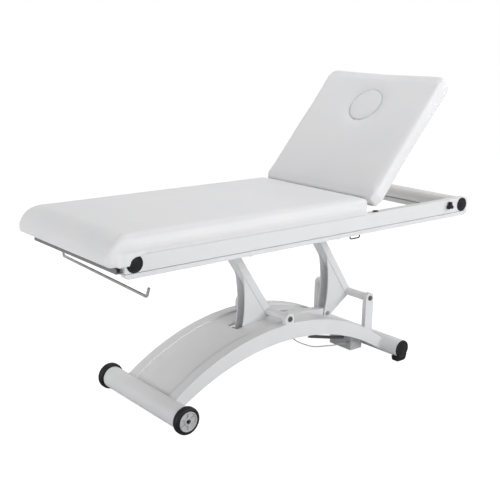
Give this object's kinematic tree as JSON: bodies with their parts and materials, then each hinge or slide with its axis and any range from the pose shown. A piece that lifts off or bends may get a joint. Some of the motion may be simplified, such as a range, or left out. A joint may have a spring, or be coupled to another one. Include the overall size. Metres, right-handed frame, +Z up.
{
  "type": "facial treatment bed",
  "caption": "Height-adjustable facial treatment bed: padded seat, raised backrest with face hole, parallel lifting arms on an arched wheeled base.",
  "frame": {"origin": "on the floor under the middle of the bed's bounding box", "axes": "+X towards the head end, +Y towards the far side, away from the clamp knob, +Z up"},
  "size_m": [1.834, 0.62, 1.2101],
  "materials": {
    "white_upholstery": "satin",
    "white_paint": "satin",
    "black_plastic": "matte",
    "black_rubber": "matte",
    "tyre_rubber": "matte",
    "grey_plastic": "satin",
    "control_plastic": "satin",
    "lead_sheath": "matte",
    "zinc_steel": "satin",
    "black_steel": "satin",
    "plywood": "matte"
  },
  "bodies": {
    "base": {"side_member_near": "white_paint", "side_member_far": "white_paint", "deck_plate": "white_paint", "front_cross_tube": "white_paint", "rear_cross_tube": "white_paint", "rear_tube_caps": "black_plastic", "rear_feet": "black_rubber", "wheel_axles": "zinc_steel", "base_pivot_ears": "white_paint", "base_pivot_bolts": "zinc_steel", "actuator_bracket": "white_paint", "control_box": "control_plastic", "control_lead": "lead_sheath", "lead_fittings": "black_plastic"},
    "wheel_near": {"tyre_near": "tyre_rubber", "wheel_disc_near": "grey_plastic"},
    "wheel_far": {"tyre_far": "tyre_rubber", "wheel_disc_far": "grey_plastic"},
    "front_arm": {"front_arm_strut": "white_paint", "front_arm_webs": "white_paint", "front_arm_lower_tube": "white_paint", "front_arm_upper_tube": "white_paint", "front_link_pin": "zinc_steel"},
    "rear_arm": {"rear_arm_strut": "white_paint", "rear_arm_webs": "white_paint", "rear_arm_lower_tube": "white_paint", "rear_arm_upper_tube": "white_paint", "rear_link_pin": "zinc_steel"},
    "tie_bar": {"tie_bar": "white_paint"},
    "actuator": {"actuator_housing": "grey_plastic", "actuator_motor": "black_plastic"},
    "actuator_rod": {"actuator_rod": "zinc_steel"},
    "top_frame": {"side_rail_near": "white_paint", "side_rail_far": "white_paint", "lower_bars": "white_paint", "end_cross_tubes": "white_paint", "cross_tube_plugs": "black_plastic", "frame_beams": "white_paint", "stringers": "white_paint", "top_pivot_ears": "white_paint", "top_pivot_bolts": "zinc_steel", "seat_board": "plywood", "seat_cushion": "white_upholstery", "hinge_seat_leaves": "zinc_steel", "hinge_pins": "zinc_steel", "spring_low_lugs": "white_paint", "rest_buffers": "black_rubber", "wire_hook": "black_steel", "clamp_nut": "zinc_steel", "roll_socket": "white_paint"},
    "backrest": {"back_board": "plywood", "back_cushion": "white_upholstery", "hinge_back_leaves": "zinc_steel", "spring_high_lugs": "white_paint"},
    "face_plug": {"face_plug": "white_upholstery"},
    "spring_barrel": {"spring_barrel": "black_steel"},
    "spring_rod": {"spring_rod": "zinc_steel"},
    "clamp_knob": {"clamp_knob": "black_plastic"},
    "roll_rod": {"roll_rod": "zinc_steel"}
  },
  "joints": [
    {"name": "lift", "type": "hinge", "parent": "base", "child": "front_arm", "pos_m": [-0.004, 0, 0.286], "axis": [0, 1, 0], "range_deg": [-37, 9]},
    {"name": "rear_arm_swing", "type": "hinge", "parent": "base", "child": "rear_arm", "pos_m": [0.462, 0, 0.286], "axis": [0, 1, 0], "range_deg": [-37, 9]},
    {"name": "top_frame_level", "type": "hinge", "parent": "front_arm", "child": "top_frame", "pos_m": [-0.21395, 0, 0.59997], "axis": [0, 1, 0], "range_deg": [-9, 37]},
    {"name": "tie_bar_level", "type": "hinge", "parent": "front_arm", "child": "tie_bar", "pos_m": [-0.125, 0, 0.207], "axis": [0, 1, 0], "range_deg": [-9, 37]},
    {"name": "actuator_tilt", "type": "hinge", "parent": "base", "child": "actuator", "pos_m": [0.117, 0.048, 0.207], "axis": [0, 1, 0], "range_deg": [-18.5, 4.5]},
    {"name": "actuator_rod_tilt", "type": "hinge", "parent": "front_arm", "child": "actuator_rod", "pos_m": [-0.125, 0.048, 0.207], "axis": [0, 1, 0], "range_deg": [-4.5, 18.5]},
    {"name": "backrest", "type": "hinge", "parent": "top_frame", "child": "backrest", "pos_m": [0.265, 0, 0.758], "axis": [0, -1, 0], "range_deg": [-49.36, 20.6]},
    {"name": "spring_barrel_tilt", "type": "hinge", "parent": "top_frame", "child": "spring_barrel", "pos_m": [0.22641, 0, 0.62342], "axis": [0, -1, 0], "range_deg": [-24.68, 10.3]},
    {"name": "spring_rod_tilt", "type": "hinge", "parent": "backrest", "child": "spring_rod", "pos_m": [0.40314, 0, 0.78077], "axis": [0, -1, 0], "range_deg": [-10.3, 24.68]},
    {"name": "face_plug_lift", "type": "slide", "parent": "backrest", "child": "face_plug", "axis": [-0.7588, 0, 0.6513], "range_m": [0, 0.07]},
    {"name": "clamp_knob_turn", "type": "hinge", "parent": "top_frame", "child": "clamp_knob", "pos_m": [0.785, -0.2945, 0.678], "axis": [0, -1, 0], "continuous": true},
    {"name": "roll_rod_swing", "type": "hinge", "parent": "top_frame", "child": "roll_rod", "pos_m": [-0.762, 0.2795, 0.6], "axis": [0, 0, 1], "range_deg": [-90, 0]},
    {"name": "wheel_near_roll", "type": "hinge", "parent": "base", "child": "wheel_near", "pos_m": [-0.583, -0.2595, 0.05225], "axis": [0, 1, 0], "continuous": true},
    {"name": "wheel_far_roll", "type": "hinge", "parent": "base", "child": "wheel_far", "pos_m": [-0.583, 0.2595, 0.05225], "axis": [0, 1, 0], "continuous": true}
  ],
  "couplings": [
    {"joint": "rear_arm_swing", "follows": "lift", "ratio": 1},
    {"joint": "top_frame_level", "follows": "lift", "ratio": -1},
    {"joint": "tie_bar_level", "follows": "lift", "ratio": -1},
    {"joint": "actuator_tilt", "follows": "lift", "ratio": 0.5},
    {"joint": "actuator_rod_tilt", "follows": "lift", "ratio": -0.5},
    {"joint": "spring_barrel_tilt", "follows": "backrest", "ratio": 0.5},
    {"joint": "spring_rod_tilt", "follows": "backrest", "ratio": -0.5}
  ]
}
